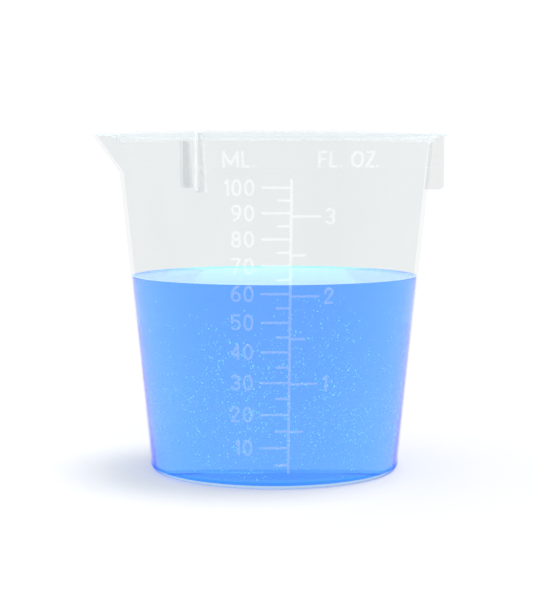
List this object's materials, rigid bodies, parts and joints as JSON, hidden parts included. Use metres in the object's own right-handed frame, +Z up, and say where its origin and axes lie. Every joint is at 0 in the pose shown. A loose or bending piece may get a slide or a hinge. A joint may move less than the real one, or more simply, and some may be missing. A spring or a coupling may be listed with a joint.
{
  "type": "fuel sampler cup",
  "caption": "Clear tapered cup with a pour spout, a moulded millilitre and fluid ounce scale and stacking lugs, holding a blue fuel sample.",
  "frame": {"origin": "on the cup's axis, at its underside", "axes": "+Z up along the axis to the open rim, -X towards the pour spout, -Y towards the scale"},
  "size_m": [0.0658, 0.064, 0.062],
  "materials": {
    "natural_polypropylene": "natural, uncoloured, see-through polypropylene as moulded",
    "raised_marks": "the same plastic, raised from the wall",
    "blue_fuel": "clear liquid, dyed blue"
  },
  "bodies": {
    "root": {"cup_floor": "natural_polypropylene", "cup_wall": "natural_polypropylene", "pour_spout": "natural_polypropylene", "rim_lip": "natural_polypropylene", "stacking_lug_right": "natural_polypropylene", "stacking_lug_back": "natural_polypropylene", "stacking_lug_front": "natural_polypropylene", "scale_spine": "raised_marks", "ml_ticks_long": "raised_marks", "ml_ticks_short": "raised_marks", "fl_oz_ticks_long": "raised_marks", "fl_oz_ticks_short": "raised_marks", "ml_numerals": "raised_marks", "fl_oz_numerals": "raised_marks", "ml_unit_label": "raised_marks", "fl_oz_unit_label": "raised_marks", "fuel_sample": "blue_fuel"}
  },
  "joints": []
}
